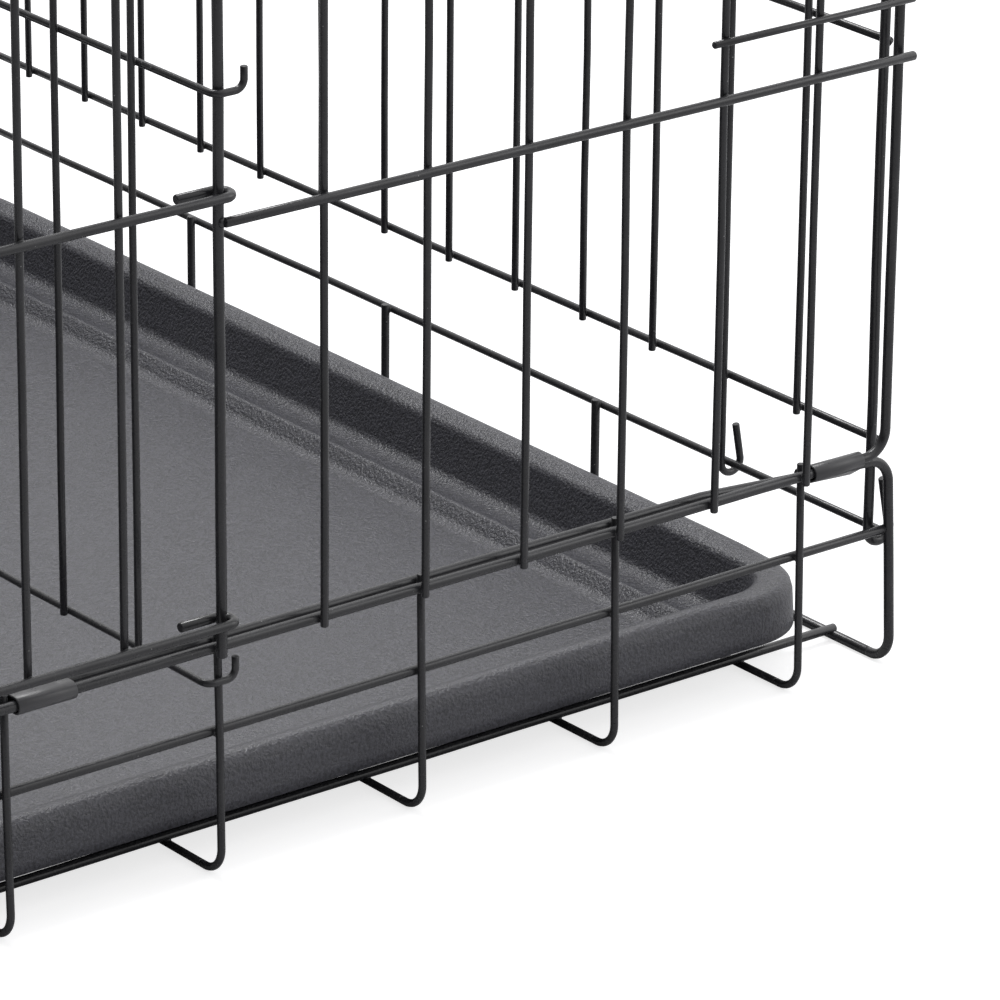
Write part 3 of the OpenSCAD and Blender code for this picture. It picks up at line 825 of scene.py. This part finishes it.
pieces = {
    "base_near_rail": (near_rail, floor_wires),
    "base_far_rail": (far_rail, floor_wires),
    "base_floor_grid": (floor_wires, ()),
    "base_front_wire": ([end_wire(-1)], ()),
    "base_back_wire": ([end_wire(1)] + [floor_stub(y) for y in FLOOR_YS], ()),
    "near_side_panel": (near_panel, ()),
    "far_side_panel": (far_panel, ()),
    "top_panel": (top_wires(), ()),
    "near_corner_rungs": (placed(rungs(), near), near_panel),
    "far_corner_rungs": (placed(rungs(), far), far_panel),
    "front_panel_stops": (stops(-1), ()),
    "back_panel_stops": (stops(1), ()),
    "front_panel": (front_panel, ()),
    "back_panel": (placed(back_end(), back), ()),
    "side_door": (side_gate, ()),
    "front_door": (front_gate, ()),
    "side_door_guides": (placed(guides(SIDE_HINGE, SIDE_LATCH, SIDE_DOOR_BARS), near), side_gate),
    "front_door_guides": (placed(guides(FRONT_HINGE, FRONT_LATCH, FRONT_DOOR_BARS), front), front_gate),
    "side_door_keepers": (placed(keepers(SIDE_LATCH), near), near_panel),
    "front_door_keepers": (placed(keepers(FRONT_LATCH), front), front_panel),
    "divider_panel": (divider(), ()),
    "side_bolt_lower": (placed([slide_bolt(SIDE_HINGE, SIDE_LATCH, BOLT_ZS[0])], near), ()),
    "side_bolt_upper": (placed([slide_bolt(SIDE_HINGE, SIDE_LATCH, BOLT_ZS[1])], near), ()),
    "front_bolt_lower": (placed([slide_bolt(FRONT_HINGE, FRONT_LATCH, BOLT_ZS[0])], front), ()),
    "front_bolt_upper": (placed([slide_bolt(FRONT_HINGE, FRONT_LATCH, BOLT_ZS[1])], front), ()),
}

for node, (wires, neighbours) in pieces.items():
    parts = [tube(w) for w in wires] + welds(wires, neighbours)
    coat = bolt_coat if "_bolt_" in node else wire_coat
    stand_for(make_mesh("fine_" + node, parts, coat), node)

# ---- clips ----

CAPSULE_STEPS = 8


def base_drop(x):
    """How far the base wire lies below the panel's wire at x."""
    return CORNER_DROP * max(0.0, abs(x) - END_X + DROP_RUN) / DROP_RUN


def capsule(radius, drop):
    """(depth, height) points round the two clipped wires, the inner one lower by drop."""
    tilt = math.atan2(drop, BASE_DEPTH - FRAME_DEPTH)
    points = []
    for centre, low, start in ((BASE_DEPTH, drop, -math.pi / 2), (FRAME_DEPTH, 0.0, math.pi / 2)):
        for k in range(CAPSULE_STEPS + 1):
            a = start - tilt + math.pi * k / CAPSULE_STEPS
            points.append((centre + radius * math.cos(a), radius * math.sin(a) - low))
    return points


def clip(x, z, wall, drop):
    """A sheet sleeve with softened edges; drop(x) is how far the inner wire lies below the outer one."""
    inner = FRAME_R + CLIP_SLACK
    outer = inner + CLIP_T
    edge = 0.18
    outlines = [(inner, edge), (inner + edge, 0), (outer - edge, 0), (outer, edge),
                (outer, CLIP_LEN - edge), (outer - edge, CLIP_LEN), (inner + edge, CLIP_LEN),
                (inner, CLIP_LEN - edge)]
    verts, faces = [], []
    rows = len(outlines)
    for radius, along in outlines:
        verts += [wall((x + along, d, z + h)) for d, h in capsule(radius, drop(x + along))]
    around = 2 * (CAPSULE_STEPS + 1)
    for k in range(rows):
        a, b = k * around, (k + 1) % rows * around
        for s in range(around):
            t = (s + 1) % around
            quad = (a + s, a + t, b + t, b + s)
            faces.append(quad if wall is near else quad[::-1])
    return verts, faces


for side, wall in (("near", near), ("far", far)):
    for level, z in (("base", BASE_RISE), ("top", TOP_Z)):
        base = level == "base"
        start = BAR_R + CLIP_GAP + (FOOT_SHIFT if base else 0)
        parts = [clip(bar_x(i) + start, z, wall, base_drop if base else lambda x: 0.0) for i in CLIPS]
        node = side + "_" + level + "_clips"
        obj = make_mesh("fine_" + node, parts, clip_coat)
        stand_for(obj, node)

# ---- pan ----

PAN_X = HALF_LEN - 12  # fine
PAN_Y = HALF_W - 15
PAN_FLOOR = 5.15
PAN_TOP = PAN_FLOOR + 25
PAN_CORNER = 26.0
# Inset from the outer edge, height, and share of the edge bead, from the skirt's foot inwards
PAN_UPPER = [
    (0.0, 14.2, 0), (0.1, 18.0, 0), (0.5, 25.0, 0), (1.1, 27.2, 0.1), (2.2, 28.4, 0.5),
    (3.6, 28.9, 0.9), (5.0, 29.0, 1.0), (6.6, 28.9, 0.9), (8.2, 28.7, 0.4), (9.8, 28.5, 0.1),
    (11.0, 27.9, 0), (11.9, 26.4, 0), (15.2, 14.6, 0), (16.4, 12.9, 0), (18.5, 12.2, 0),
    (24.5, 11.6, 0), (25.6, 12.1, 0), (26.7, 12.4, 0), (27.8, 11.9, 0), (30.4, 8.7, 0),
    (32.0, 7.6, 0), (36.0, 7.15, 0),
]
PAN_UNDER = [
    (34.0, 5.15, 0), (29.6, 5.9, 0), (26.5, 9.6, 0), (16.4, 10.4, 0), (13.6, 12.6, 0),
    (10.2, 25.4, 0), (9.0, 26.6, 0), (4.2, 27.0, 0), (2.6, 26.2, 0), (2.1, 24.5, 0), (1.7, 18.0, 0),
    (1.6, 14.2, 0),
]
BEAD_RISE = 1.15
BEAD_END = 30.0
BEAD_FADE = 8.0
ARC_POINTS = 14
LONG_POINTS = 48
SHORT_POINTS = 36


def outline(inset):
    """(x, y, distance to the corner) round a rounded rectangle; the distance is -1 on its arcs."""
    a, b = PAN_X - inset, PAN_Y - inset
    r = max(6.0, PAN_CORNER - 0.75 * inset)
    points = []
    quarter = math.pi / 2
    for corner, (sx, sy) in enumerate(((1, -1), (1, 1), (-1, 1), (-1, -1))):
        cx, cy = sx * (a - r), sy * (b - r)
        start = -quarter + corner * quarter
        for k in range(ARC_POINTS + 1):
            t = start + quarter * k / ARC_POINTS
            points.append((cx + r * math.cos(t), cy + r * math.sin(t), -1.0))
        along_y = corner in (0, 2)
        count = SHORT_POINTS if along_y else LONG_POINTS
        half = (b if along_y else a) - r
        for k in range(1, count):
            t = -half + 2 * half * k / count
            to_corner = (b if along_y else a) - abs(t)
            if along_y:
                points.append((sx * a, sx * t, to_corner))
            else:
                points.append((-sy * t, sy * b, to_corner))
    return points


def pan_rows():
    rows = []
    for inset, z, share in PAN_UPPER + PAN_UNDER:
        row = []
        for x, y, to_corner in outline(inset):
            fade = min(1.0, max(0.0, (to_corner - BEAD_END) / BEAD_FADE)) if to_corner > 0 else 0.0
            fade = fade * fade * (3 - 2 * fade)
            row.append((x, y, min(PAN_TOP, z + share * fade * BEAD_RISE)))
        rows.append(row)
    return rows


def pan_mesh():
    rows = pan_rows()
    around = len(rows[0])
    verts = [p for row in rows for p in row]
    faces = []
    count = len(rows)
    top_last = len(PAN_UPPER) - 1
    for k in range(count):
        if k == top_last:
            continue
        a, b = k * around, (k + 1) % count * around
        for s in range(around):
            t = (s + 1) % around
            faces.append((a + s, a + t, b + t, b + s))
    faces.append(tuple(top_last * around + s for s in range(around)))
    faces.append(tuple((top_last + 1) * around + s for s in range(around - 1, -1, -1)))
    return verts, faces


stand_for(make_mesh("fine_pan", [pan_mesh()], pan_plastic), "pan")

# ---- floor, light and camera ----

AZIMUTH = math.radians(38.48)
ELEVATION = math.radians(21.8)
ROLL = math.radians(0.6)
FOCAL_SHARE = 6.203
SENSOR = 36.0
EYE = Vector((-0.807, -1.557, 0.758))
EYE_RIGHT = Vector((math.cos(AZIMUTH), -math.sin(AZIMUTH), 0))
EYE_AHEAD = Vector((math.sin(AZIMUTH), math.cos(AZIMUTH), 0))
BRIGHT_SIDE = (0.55 * EYE_RIGHT + 0.5 * EYE_AHEAD + Vector((0, 0, 0.6))).normalized()


def make_floor():
    bpy.ops.mesh.primitive_plane_add(size=14, location=(0, 0, 0))
    floor = bpy.context.active_object
    floor.name = "floor"
    mat, tree, shader = principled("floor_paper", (0.5, 0.5, 0.51), 0.9, 0.1)
    out = tree.nodes["Material Output"]
    path = tree.nodes.new("ShaderNodeLightPath")
    glow = add(tree, "ShaderNodeEmission", Color=(1, 1, 1, 1), Strength=0.74)
    both = tree.nodes.new("ShaderNodeAddShader")
    pick = tree.nodes.new("ShaderNodeMixShader")
    tree.links.new(shader.outputs[0], both.inputs[0])
    tree.links.new(glow.outputs[0], both.inputs[1])
    tree.links.new(path.outputs["Is Camera Ray"], pick.inputs[0])
    tree.links.new(shader.outputs[0], pick.inputs[1])
    tree.links.new(both.outputs[0], pick.inputs[2])
    tree.links.new(pick.outputs[0], out.inputs["Surface"])
    floor.data.materials.append(mat)


def make_world():
    world = bpy.data.worlds.new("studio")
    bpy.context.scene.world = world
    world.use_nodes = True
    tree = world.node_tree
    tree.nodes.clear()
    place = tree.nodes.new("ShaderNodeTexCoord")
    dot = tree.nodes.new("ShaderNodeVectorMath")
    dot.operation = "DOT_PRODUCT"
    tree.links.new(place.outputs["Generated"], dot.inputs[0])
    dot.inputs[1].default_value = BRIGHT_SIDE
    level = ramp(tree, dot.outputs["Value"], -0.35, 0.85, 0.02, 1.15)
    soft = add(tree, "ShaderNodeBackground", Color=(1, 1, 1, 1))
    tree.links.new(level, soft.inputs["Strength"])
    white = add(tree, "ShaderNodeBackground", Color=(1, 1, 1, 1), Strength=1.0)
    path = tree.nodes.new("ShaderNodeLightPath")
    pick = tree.nodes.new("ShaderNodeMixShader")
    out = tree.nodes.new("ShaderNodeOutputWorld")
    tree.links.new(path.outputs["Is Camera Ray"], pick.inputs[0])
    tree.links.new(soft.outputs[0], pick.inputs[1])
    tree.links.new(white.outputs[0], pick.inputs[2])
    tree.links.new(pick.outputs[0], out.inputs["Surface"])


def area_light(name, place, target, size, power):
    data = bpy.data.lights.new(name, "AREA")
    data.shape = "RECTANGLE"
    data.size, data.size_y = size
    data.energy = power
    obj = bpy.data.objects.new(name, data)
    obj.location = place
    obj.rotation_euler = (Vector(target) - Vector(place)).to_track_quat("-Z", "Y").to_euler()
    bpy.context.collection.objects.link(obj)


def make_camera():
    data = bpy.data.cameras.new("camera")
    data.sensor_width = SENSOR
    data.lens = FOCAL_SHARE * SENSOR
    data.clip_start = 0.05
    data.clip_end = 50
    camera = bpy.data.objects.new("camera", data)
    bpy.context.collection.objects.link(camera)
    look = Vector((math.sin(AZIMUTH) * math.cos(ELEVATION), math.cos(AZIMUTH) * math.cos(ELEVATION),
                   -math.sin(ELEVATION)))
    down = look.cross(EYE_RIGHT)
    right = math.cos(ROLL) * EYE_RIGHT - math.sin(ROLL) * down
    down = math.sin(ROLL) * EYE_RIGHT + math.cos(ROLL) * down
    axes = Matrix((right, -down, -look)).transposed()
    camera.matrix_world = Matrix.Translation(EYE) @ axes.to_4x4()
    bpy.context.scene.camera = camera


make_floor()
make_world()
area_light("key_top", (0.5, 0.9, 2.2), (0.1, 0, 0.1), (1.0, 1.0), 40)
area_light("fill_right", (1.7, -1.2, 1.1), (0.3, -0.1, 0.1), (1.0, 1.0), 4)
make_camera()
bpy.context.scene.view_settings.view_transform = "Standard"
